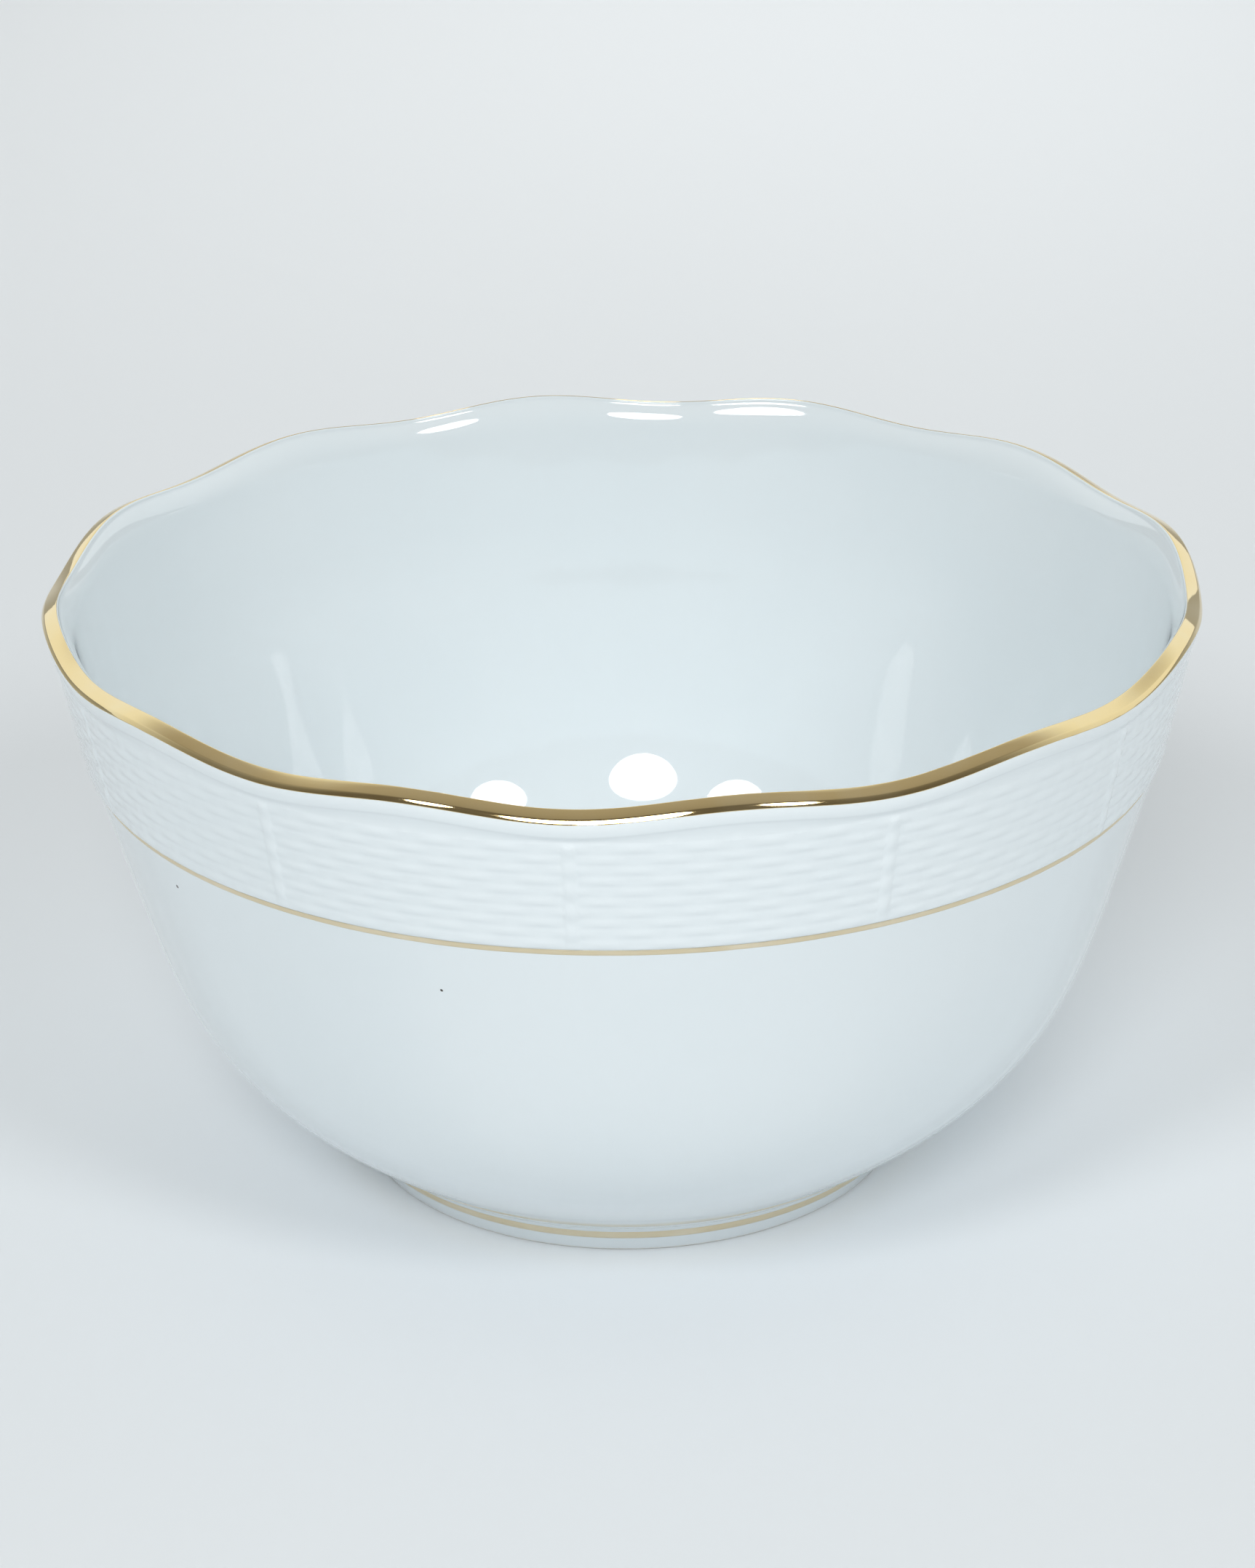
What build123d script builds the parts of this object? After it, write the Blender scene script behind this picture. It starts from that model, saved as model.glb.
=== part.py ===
"""A porcelain serving bowl: a round belly on a foot ring, a basket-weave border with upright
ribs, a gently scalloped lip, and three gilded bands.

Millimetres, +Z up. The origin is on the bowl's axis, on the plane that the foot ring rests on.
Angles are measured about +Z, and the first rib stands at -Y.
"""

import os
from math import cos, hypot, pi, radians, sin, tan

from build123d import *

# Overall sizes
RIM_DIAMETER = 240.0  # across the finished lip
BOWL_HEIGHT = 128.0  # resting plane to the mean height of the lip's crest
WALL_THICKNESS = 4.0  # belly wall just under the border
COLLAR_THICKNESS = 4.7  # wall at the level seam under the scalloped lip
BASE_THICKNESS = 5.0  # floor of the bowl, between the well and the foot recess
FLOOR_DROP = 1.5  # the flat floor lies this far below the foot of the well's wall

# Scalloped lip
SCALLOPS = 12  # lobes round the rim, one between each pair of ribs
SCALLOP_RISE = 1.05  # the lip rises and dips this much about its mean height
SCALLOP_BULGE = 0.25  # and swells this much outwards at each lobe
POINTS_PER_SCALLOP = 8
LIP_THICKNESS = 3.4  # across the finished lip, gilding included
LIP_INNER_ROUND = 0.45
LIP_OUTER_ROUND = 0.9
LIP_FALL = 0.3  # the lip's top falls this much from its inner edge to its outer round
ROUND_STEPS = 4  # facets on each round of the lip

# Flare of the well just under the lip
FLARE_LEAN = 0.19  # the well leans out this much for each millimetre up, below the flare
FLARE_POWER = 2.6  # how late the flare opens out
FLARE_STEPS = 5

# Moulded strip that follows the scallops under the gilding
STRIP_BOTTOM_DEPTH = 4.6  # below the lip's crest
STRIP_LEAN = 0.22  # the strip draws in this much for each millimetre down
GROOVE_DEPTH = 0.45
GROOVE_WIDTH = 0.5
COLLAR_DEPTH = 6.9  # level seam between the scalloped lip and the round border

# Basket-weave border
BORDER_HEIGHT = 32.0  # lip's crest down to the middle of the border line
BORDER_FLARE = 7.0  # the lip stands out this far beyond the border line
WEAVE_ROWS = 10
WEAVE_CLEARANCE = 0.35  # weave to the border line below it, and to the collar above it
WEAVE_LEDGE = 0.5  # the weave's lower edge stands out this far over the border line
WEAVE_TOP_INSET = 1.6  # the weave's upper edge is this far inside the lip's outer face
WEAVE_RELIEF = 0.35  # crown of each woven row
RIB_WIDTH = 2.6
RIB_RELIEF = 0.85
RIB_ROUND = 0.8
RIB_ROOT = 1.2  # how deep each rib is rooted in the wall
RIB_END_SLOPE = 0.6

# Belly
BELLY_LEAN = 16.4  # degrees from upright, just under the border line
BELLY_FOOT_RISE = 35.3  # degrees above level, where the belly leaves the foot
BELLY_TOP_FULLNESS = 0.595  # share of the belly's height that its upper handle spans
BELLY_FOOT_FULLNESS = 0.735  # share of the belly's spread that its lower handle spans
WELL_POINTS = 6

# Foot ring
FOOT_DIAMETER = 122.8  # across the top of the foot ring
FOOT_HEIGHT = 7.6
FOOT_SHOULDER = 1.1  # the belly overhangs the foot ring by this much
FOOT_SHOULDER_DROP = 0.7
FOOT_TAPER = 0.46  # the foot's outer face draws in this much for each millimetre down
FOOT_RING_WIDTH = 4.6
FOOT_EDGE_ROUND = 0.6
FOOT_INNER_DRAFT = 1.2
FOOT_CORNER_ROUND = 2.4

# Gilding
GILT_THICKNESS = 0.3
GILT_PROUD = 0.05
BORDER_LINE_WIDTH = 1.3
FOOT_LINE_WIDTH = 1.2
FOOT_LINE_HEIGHT = 4.8  # middle of the foot line above the resting plane
LIP_GILT_INSIDE = 0.1  # the gilding laps this far down the lip's inner face
LIP_GILT_OUTSIDE = 0.1  # and this far below the lip's outer round

# Values worked out from the sizes above
LIP_RADIUS = RIM_DIAMETER / 2
LIP_MIDDLE_RADIUS = LIP_RADIUS - LIP_THICKNESS / 2
COLLAR_HEIGHT = BOWL_HEIGHT - COLLAR_DEPTH
BORDER_LINE_HEIGHT = BOWL_HEIGHT - BORDER_HEIGHT
BORDER_LINE_RADIUS = LIP_RADIUS - BORDER_FLARE
BELLY_SLOPE = tan(radians(BELLY_LEAN))
FOOT_LINE_RADIUS = FOOT_DIAMETER / 2 - FOOT_TAPER * (FOOT_HEIGHT - FOOT_SHOULDER_DROP - FOOT_LINE_HEIGHT)
FIRST_RIB_ANGLE = -pi / 2


# ---------------------------------------------------------------- shared shapes


def line_band(radius, height, slope, width):
    """Lower and upper end of a gilded line's face, on a wall that leans out by slope."""
    half = width / 2
    return (radius - slope * half, height - half), (radius + slope * half, height + half)


def moved_out(point, distance):
    """The same point of a profile, further from the axis."""
    return point[0] + distance, point[1]


def line_seat(band):
    """Edges of the shallow seat that a gilded line lies in, from its lower end to its upper end."""
    low, high = band
    return [*Polyline(low, moved_out(low, -GILT_THICKNESS), moved_out(high, -GILT_THICKNESS), high).edges()]


def revolved(edges):
    """A solid of revolution from a closed profile of radius and height."""
    profile = make_face(Plane.XZ * Wire(edges))
    return revolve(profile, Axis.Z)


def gilded_line(band):
    """The ring of gilding that fills a seat and stands slightly proud of it."""
    low, high = band
    corners = [
        moved_out(low, -GILT_THICKNESS),
        moved_out(low, GILT_PROUD),
        moved_out(high, GILT_PROUD),
        moved_out(high, -GILT_THICKNESS),
    ]
    return revolved(Polyline(*corners, close=True).edges())


def border_band():
    """Face of the line under the basket-weave border."""
    return line_band(BORDER_LINE_RADIUS, BORDER_LINE_HEIGHT, BELLY_SLOPE, BORDER_LINE_WIDTH)


def foot_band():
    """Face of the line round the foot ring."""
    return line_band(FOOT_LINE_RADIUS, FOOT_LINE_HEIGHT, FOOT_TAPER, FOOT_LINE_WIDTH)


# ---------------------------------------------------------------- profile of the round bowl


def belly_curve():
    """Outer curve of the belly, from the foot ring up to the border line."""
    top = border_band()[0]
    foot = (FOOT_DIAMETER / 2 + FOOT_SHOULDER, FOOT_HEIGHT)
    drop = BELLY_TOP_FULLNESS * (top[1] - foot[1])
    reach = BELLY_FOOT_FULLNESS * (top[0] - foot[0])
    upper_handle = (top[0] - drop * BELLY_SLOPE, top[1] - drop)
    lower_handle = (foot[0] + reach, foot[1] + reach * tan(radians(BELLY_FOOT_RISE)))
    return Bezier(foot, lower_handle, upper_handle, top)


def weave_line():
    """Lower and upper end of the line that the woven rows stand on."""
    low = moved_out(border_band()[1], WEAVE_LEDGE)
    return (
        (low[0], low[1] + WEAVE_CLEARANCE),
        (LIP_RADIUS - WEAVE_TOP_INSET, COLLAR_HEIGHT - WEAVE_CLEARANCE),
    )


def weave_profile():
    """One shallow arc for each woven row, from the border line up to the collar."""
    (low_radius, low_height), (high_radius, high_height) = weave_line()
    run, rise = high_radius - low_radius, high_height - low_height
    length = hypot(run, rise)
    outwards = (rise / length * WEAVE_RELIEF, -run / length * WEAVE_RELIEF)
    arcs = []
    for row in range(WEAVE_ROWS):
        low, middle, high = ((row + share) / WEAVE_ROWS for share in (0.0, 0.5, 1.0))
        arcs.append(
            ThreePointArc(
                (low_radius + run * low, low_height + rise * low),
                (low_radius + run * middle + outwards[0], low_height + rise * middle + outwards[1]),
                (low_radius + run * high, low_height + rise * high),
            )
        )
    return arcs


def collar_radii():
    """Inner and outer radius of the wall at the collar."""
    outer = weave_line()[1][0]
    return outer - COLLAR_THICKNESS, outer


def well_points():
    """Points of the well's wall, from the top of the belly down to its foot."""
    belly = belly_curve()
    points = []
    for step in range(WELL_POINTS):
        place = 1 - step / (WELL_POINTS - 1)
        thickness = WALL_THICKNESS + (BASE_THICKNESS - WALL_THICKNESS) * (1 - place) ** 2
        on_belly, along = belly @ place, belly % place
        points.append((on_belly.X - along.Y * thickness, on_belly.Y + along.X * thickness))
    return points


def well_floor_edges(wall_foot, along):
    """Rounded corner at the foot of the well's wall, then the flat floor to the axis."""
    reach = FLOOR_DROP / along.Y
    corner = (wall_foot[0] - along.X * reach, wall_foot[1] - FLOOR_DROP)
    flat_start = (corner[0] - reach, corner[1])
    return [
        Bezier(wall_foot, corner, flat_start),
        Line(flat_start, (0.0, corner[1])),
    ]


def foot_outer_edges():
    """Foot ring from its resting face up its outer face to the start of the belly."""
    low, high = foot_band()
    edge_radius = low[0] - FOOT_TAPER * (low[1] - FOOT_EDGE_ROUND)
    seat_end = (edge_radius - FOOT_EDGE_ROUND, 0.0)
    belly_start = belly_curve() @ 0
    foot_top = (FOOT_DIAMETER / 2, FOOT_HEIGHT - FOOT_SHOULDER_DROP)
    return [
        Line((edge_radius - FOOT_RING_WIDTH, 0.0), seat_end),
        TangentArc(seat_end, (edge_radius, FOOT_EDGE_ROUND), tangent=(1, 0)),
        Line((edge_radius, FOOT_EDGE_ROUND), low),
        *line_seat(foot_band()),
        Line(high, foot_top),
        Line(foot_top, (belly_start.X, belly_start.Y)),
    ]


def recess_edges(floor_height, seat_start):
    """Recess under the floor, from the axis out to the foot ring's resting face."""
    recess_height = floor_height - BASE_THICKNESS
    wall_radius = seat_start[0] - FOOT_INNER_DRAFT
    corner = min(FOOT_CORNER_ROUND, 0.8 * recess_height)
    inside = (wall_radius - corner, recess_height)
    down = (wall_radius, recess_height - corner)
    return [
        Line((0.0, floor_height), (0.0, recess_height)),
        Line((0.0, recess_height), inside),
        TangentArc(inside, down, tangent=(1, 0)),
        Line(down, seat_start),
    ]


def round_bowl():
    """The belly, foot ring and woven border up to the collar, turned about the axis."""
    foot = foot_outer_edges()
    low, high = border_band()
    weave_low, weave_high = weave_line()
    inner_collar, outer_collar = collar_radii()
    well = well_points()
    along = belly_curve() % 0
    floor = well_floor_edges(well[-1], along)
    edges = [
        *foot,
        belly_curve(),
        *line_seat((low, high)),
        Line(high, weave_low),
        *weave_profile(),
        Line(weave_high, (outer_collar, COLLAR_HEIGHT)),
        Line((outer_collar, COLLAR_HEIGHT), (inner_collar, COLLAR_HEIGHT)),
        Line((inner_collar, COLLAR_HEIGHT), well[0]),
        Spline(*well, tangents=[(-BELLY_SLOPE, -1.0), (-along.X, -along.Y)]),
        *floor,
        *recess_edges((floor[-1] @ 1).Y, tuple(foot[0] @ 0)[:2]),
    ]
    return revolved(edges)


# ---------------------------------------------------------------- ribs of the border


def rib():
    """One upright rib of the border, standing at +X."""
    (low_radius, low_height), (high_radius, high_height) = weave_line()
    side = Polyline(
        (low_radius - RIB_ROOT, low_height),
        (low_radius + RIB_RELIEF, low_height + RIB_END_SLOPE),
        (high_radius + RIB_RELIEF, high_height - RIB_END_SLOPE),
        (high_radius - RIB_ROOT, high_height),
        close=True,
    )
    bar = extrude(Plane.XZ * make_face(side), RIB_WIDTH / 2, both=True)
    long_edges = bar.edges().filter_by(lambda edge: edge.length > (high_height - low_height) / 2)
    return fillet(long_edges.sort_by(Axis.X)[-2:], RIB_ROUND)


def ribs():
    """All the ribs, one at each dip of the lip."""
    bar = rib()
    first = FIRST_RIB_ANGLE * 180 / pi
    return [Rot(0, 0, first + 360 * index / SCALLOPS) * bar for index in range(SCALLOPS)]


# ---------------------------------------------------------------- scalloped lip


def scalloped(outwards, upwards, share=1.0):
    """A closed curve that follows the lip at a distance from the middle of its crest.

    share is how much of the scalloping the curve takes part in.
    """
    points = []
    for index in range(SCALLOPS * POINTS_PER_SCALLOP):
        turn = 2 * pi * index / (SCALLOPS * POINTS_PER_SCALLOP)
        lobe = -cos(SCALLOPS * turn) * share
        radius = LIP_MIDDLE_RADIUS + outwards + SCALLOP_BULGE * lobe
        angle = FIRST_RIB_ANGLE + turn
        points.append((radius * cos(angle), radius * sin(angle), BOWL_HEIGHT + upwards + SCALLOP_RISE * lobe))
    return Spline(*points, periodic=True).edge()


def level_circle(radius, height):
    """A plain circle about the axis that starts at the first rib, as the scalloped curves do."""
    first = Vector(cos(FIRST_RIB_ANGLE), sin(FIRST_RIB_ANGLE), 0)
    return Edge.make_circle(radius, Plane(origin=(0, 0, height), x_dir=first, z_dir=(0, 0, 1)))


def ruled_ring(rails):
    """A closed ring whose faces run from each rail to the next."""
    faces = [Face.make_surface_from_curves(rails[i - 1], rails[i]) for i in range(len(rails))]
    return Solid(Shell(faces))


def rounded_corner(centre, radius, start, end):
    """Corners along an arc of the section, from one angle to another, in degrees."""
    angles = [radians(start + (end - start) * step / ROUND_STEPS) for step in range(ROUND_STEPS + 1)]
    return [(centre[0] + radius * cos(angle), centre[1] + radius * sin(angle)) for angle in angles]


def lip_outline(depth):
    """Outline over the lip at a depth under its finished face, from inside to outside."""
    half = LIP_THICKNESS / 2
    inner_centre = (-half + LIP_INNER_ROUND, -LIP_INNER_ROUND)
    outer_centre = (half - LIP_OUTER_ROUND, -LIP_FALL - LIP_OUTER_ROUND)
    inner = rounded_corner(inner_centre, LIP_INNER_ROUND - depth, 180, 90)
    outer = rounded_corner(outer_centre, LIP_OUTER_ROUND - depth, 90, 0)
    inner_end = (-half + depth, -LIP_INNER_ROUND - LIP_GILT_INSIDE)
    outer_end = (half - depth, outer_centre[1] - LIP_GILT_OUTSIDE)
    return [inner_end, *inner, *outer, outer_end]


def flare(gilt_inside):
    """Corners up the flare of the well, from just above the collar to just under the gilding."""
    start = collar_radii()[0] - LIP_MIDDLE_RADIUS
    rise = gilt_inside[1] + COLLAR_DEPTH
    opening = gilt_inside[0] - start - FLARE_LEAN * rise
    corners = []
    for step in range(1, FLARE_STEPS):
        share = step / FLARE_STEPS
        outwards = start + FLARE_LEAN * rise * share + opening * share**FLARE_POWER
        corners.append((outwards, rise * share - COLLAR_DEPTH, share))
    return corners


def scalloped_lip():
    """Porcelain of the lip, from the collar up to the seat of its gilding."""
    inner_collar, outer_collar = collar_radii()
    gilt_inside, *_, gilt_outside = lip_outline(0.0)
    strip_end = gilt_outside[0] - STRIP_LEAN * (STRIP_BOTTOM_DEPTH + gilt_outside[1])
    section = [
        *flare(gilt_inside),
        gilt_inside,
        *lip_outline(GILT_THICKNESS),
        gilt_outside,
        (strip_end, -STRIP_BOTTOM_DEPTH),
        (strip_end - GROOVE_DEPTH, -STRIP_BOTTOM_DEPTH - GROOVE_WIDTH),
    ]
    rails = [
        level_circle(inner_collar, COLLAR_HEIGHT),
        *(scalloped(*corner) for corner in section),
        level_circle(outer_collar, COLLAR_HEIGHT),
    ]
    return ruled_ring(rails)


def rim_gilding():
    """The gilding that wraps the lip."""
    section = [*lip_outline(0.0), *reversed(lip_outline(GILT_THICKNESS))]
    return ruled_ring([scalloped(*corner) for corner in section])


# ---------------------------------------------------------------- pieces


def bowl_body():
    """The whole porcelain piece, fired as one."""
    return round_bowl().fuse(*ribs(), scalloped_lip())


def main():
    """Build every piece and write it to its own file."""
    pieces = {
        "bowl_body": bowl_body(),
        "rim_gilding": rim_gilding(),
        "border_gold_line": gilded_line(border_band()),
        "foot_gold_line": gilded_line(foot_band()),
    }
    os.makedirs("parts", exist_ok=True)
    for name, piece in pieces.items():
        export_step(piece, f"parts/{name}.step")
        print(name, "volume", round(piece.volume, 1))


main()
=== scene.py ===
"""A porcelain serving bowl with a basket-weave border, a scalloped gilded lip and two gold lines.

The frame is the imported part's: metres, +Z up, the bowl's axis is Z, its foot rests on Z = 0 and the
first rib stands at -Y. Sizes of the bowl are given in millimetres and those of the studio in metres,
and meshes are made in metres.
"""

import logging
import math
from dataclasses import dataclass, field
from enum import Enum
from functools import cached_property

import bpy
from mathutils import Matrix, Vector


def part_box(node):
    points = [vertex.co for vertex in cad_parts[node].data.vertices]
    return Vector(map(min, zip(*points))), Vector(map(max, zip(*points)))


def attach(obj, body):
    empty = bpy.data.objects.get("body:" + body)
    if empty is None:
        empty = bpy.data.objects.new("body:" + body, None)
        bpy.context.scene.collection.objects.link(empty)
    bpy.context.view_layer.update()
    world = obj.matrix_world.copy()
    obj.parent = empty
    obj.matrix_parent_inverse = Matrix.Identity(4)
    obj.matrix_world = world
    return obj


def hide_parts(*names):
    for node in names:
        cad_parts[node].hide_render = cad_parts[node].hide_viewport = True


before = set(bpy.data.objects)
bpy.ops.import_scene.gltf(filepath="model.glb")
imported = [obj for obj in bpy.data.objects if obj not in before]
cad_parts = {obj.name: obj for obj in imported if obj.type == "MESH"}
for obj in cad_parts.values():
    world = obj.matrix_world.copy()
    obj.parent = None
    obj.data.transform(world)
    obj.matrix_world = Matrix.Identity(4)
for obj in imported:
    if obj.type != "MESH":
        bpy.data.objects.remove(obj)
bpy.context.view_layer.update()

MM = 0.001
FULL_TURN = 2 * math.pi
LOG = logging.getLogger("bowl")

Colour = tuple[float, float, float]
Point = tuple[float, float]


@dataclass(frozen=True)
class Mottle:
    """Seeded lumps over a surface or through a shape.

    Attributes:
        scale: lumps to the metre.
        detail: how often finer lumps are laid over them.
        seed: which lumps they are.
        low: the value that counts as none, where the lumps are read as patches.
        high: the value that counts as full.
    """

    scale: float
    detail: float
    seed: float = 0.0
    low: float = 0.0
    high: float = 1.0


# ---------------------------------------------------------------- node wiring


class Wire:
    """One output socket of a node tree; arithmetic on it adds Math nodes."""

    def __init__(self, bench: "Bench", socket: bpy.types.NodeSocket) -> None:
        """Keeps the socket and the bench that it belongs to."""
        self.bench = bench
        self.socket = socket

    def __add__(self, other: "Wire | float") -> "Wire":
        """self + other"""
        return self.bench.math("ADD", self, other)

    def __radd__(self, other: float) -> "Wire":
        """other + self"""
        return self.bench.math("ADD", other, self)

    def __sub__(self, other: "Wire | float") -> "Wire":
        """self - other"""
        return self.bench.math("SUBTRACT", self, other)

    def __rsub__(self, other: float) -> "Wire":
        """other - self"""
        return self.bench.math("SUBTRACT", other, self)

    def __mul__(self, other: "Wire | float") -> "Wire":
        """self * other"""
        return self.bench.math("MULTIPLY", self, other)

    def __rmul__(self, other: float) -> "Wire":
        """other * self"""
        return self.bench.math("MULTIPLY", other, self)

    def __truediv__(self, other: "Wire | float") -> "Wire":
        """self / other"""
        return self.bench.math("DIVIDE", self, other)

    def __rtruediv__(self, other: float) -> "Wire":
        """other / self"""
        return self.bench.math("DIVIDE", other, self)

    def __pow__(self, other: float) -> "Wire":
        """self ** other"""
        return self.bench.math("POWER", self, other)


class Bench:
    """Adds nodes to one node tree, for a finish, a sky or a moulded shape."""

    def __init__(self, tree: bpy.types.NodeTree) -> None:
        """Keeps the tree that the nodes go into."""
        self.tree = tree

    def node(
        self,
        kind: str,
        settings: dict[str, object] | None = None,
        inputs: dict[str | int, object] | None = None,
    ) -> bpy.types.Node:
        """Adds one node of any type.

        Args:
            kind: the node's type.
            settings: properties, set before the inputs.
            inputs: values or wires of its sockets, by name or index.

        Returns:
            The new node.
        """
        made = self.tree.nodes.new(kind)
        for name, value in (settings or {}).items():
            setattr(made, name, value)
        for key, value in (inputs or {}).items():
            if isinstance(value, Wire):
                self.tree.links.new(value.socket, made.inputs[key])
            else:
                made.inputs[key].default_value = value
        return made

    def wire(
        self,
        kind: str,
        settings: dict[str, object] | None = None,
        inputs: dict[str | int, object] | None = None,
        output: str | int = 0,
    ) -> Wire:
        """Adds one node and returns one of its outputs.

        Args:
            kind: the node's type.
            settings: properties set first.
            inputs: values or wires of its sockets.
            output: which output to return.

        Returns:
            The output, wrapped.
        """
        return Wire(self, self.node(kind, settings, inputs).outputs[output])

    def math(self, operation: str, *values: "Wire | float") -> Wire:
        """Adds a Math node of that operation on up to three values."""
        return self.wire("ShaderNodeMath", {"operation": operation}, dict(enumerate(values)))

    def clamped(self, value: Wire) -> Wire:
        """The value kept between 0 and 1."""
        return self.wire("ShaderNodeClamp", None, {"Value": value})

    def ease(self, value: Wire, start: float, end: float) -> Wire:
        """Goes smoothly from 0 to 1 as value goes from start to end."""
        return self.wire(
            "ShaderNodeMapRange",
            {"interpolation_type": "SMOOTHSTEP"},
            {"Value": value, "From Min": start, "From Max": end},
        )

    def mix(self, share: "Wire | float", first: object, second: object) -> Wire:
        """Mixes two colours."""
        return self.wire("ShaderNodeMix", {"data_type": "RGBA"}, {0: share, 6: first, 7: second}, 2)

    def swing(self, angle: Wire) -> Wire:
        """A wave between 0 and 1 that is 1 at a whole turn."""
        return 0.5 + 0.5 * self.math("COSINE", angle)

    def lumps(self, place: Wire, mottle: Mottle, seed: "Wire | None" = None) -> Wire:
        """Lumps around one half.

        Args:
            place: where they are read.
            mottle: their size and seed.
            seed: a seed from the tree, instead of the mottle's own.

        Returns:
            Their value.
        """
        return self.wire(
            "ShaderNodeTexNoise",
            {"noise_dimensions": "4D"},
            {
                "Vector": place,
                "W": mottle.seed if seed is None else seed,
                "Scale": mottle.scale,
                "Detail": mottle.detail,
            },
        )

    def patches(self, place: Wire, mottle: Mottle) -> Wire:
        """Lumps read as patches, 0 off a patch and 1 on it."""
        return self.ease(self.lumps(place, mottle), mottle.low, mottle.high)

    def bump(self, height: Wire, strength: float, depth: float) -> Wire:
        """A surface's direction, tilted by small height that is at most depth millimetres."""
        return self.wire(
            "ShaderNodeBump", None, {"Strength": strength, "Distance": depth * MM, "Height": height}
        )

    def attribute(self, name: str) -> Wire:
        """A number stored on the surface, in a material."""
        return self.wire("ShaderNodeAttribute", {"attribute_name": name}, None, "Fac")

    def field_attribute(self, name: str) -> Wire:
        """A number stored on the surface, in a Geometry Nodes tree."""
        return self.wire("GeometryNodeInputNamedAttribute", {"data_type": "FLOAT"}, {"Name": name})


def opaque(colour: Colour) -> tuple[float, float, float, float]:
    """A colour with full alpha."""
    return (*colour, 1.0)


# ---------------------------------------------------------------- finishes


class Slot(Enum):
    """The record's material slots."""

    PORCELAIN = "porcelain"
    BURNISHED = "gilding_burnished"
    MATT = "gilding_matt"


@dataclass(frozen=True)
class Speck:
    """An iron speck under the glaze.

    Attributes:
        turn: degrees round from the first rib, towards +X.
        height: millimetres above the resting plane.
        wall_radius: distance from the axis, in millimetres.
        radius: of the speck, in millimetres.
    """

    turn: float
    height: float
    wall_radius: float
    radius: float = 0.45

    def place(self) -> tuple[float, float, float]:
        """Its centre, in metres."""
        angle = math.radians(self.turn)
        out = self.wall_radius * MM
        return (out * math.sin(angle), -out * math.cos(angle), self.height * MM)


def start_material(name: str) -> tuple[bpy.types.Material, Bench, bpy.types.Node]:
    """Makes an empty material.

    Args:
        name: the material's name.

    Returns:
        The material, a bench on its tree and its Principled shader.
    """
    material = bpy.data.materials.new(name)
    material.use_nodes = True
    material.node_tree.nodes.clear()
    bench = Bench(material.node_tree)
    shader = bench.node("ShaderNodeBsdfPrincipled")
    bench.node("ShaderNodeOutputMaterial", None, {"Surface": Wire(bench, shader.outputs[0])})
    return material, bench, shader


def connect(bench: Bench, shader: bpy.types.Node, **wires: Wire) -> None:
    """Links wires to a shader's sockets; underscores in the names stand for spaces."""
    for name, wire in wires.items():
        bench.tree.links.new(wire.socket, shader.inputs[name.replace("_", " ")])


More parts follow.
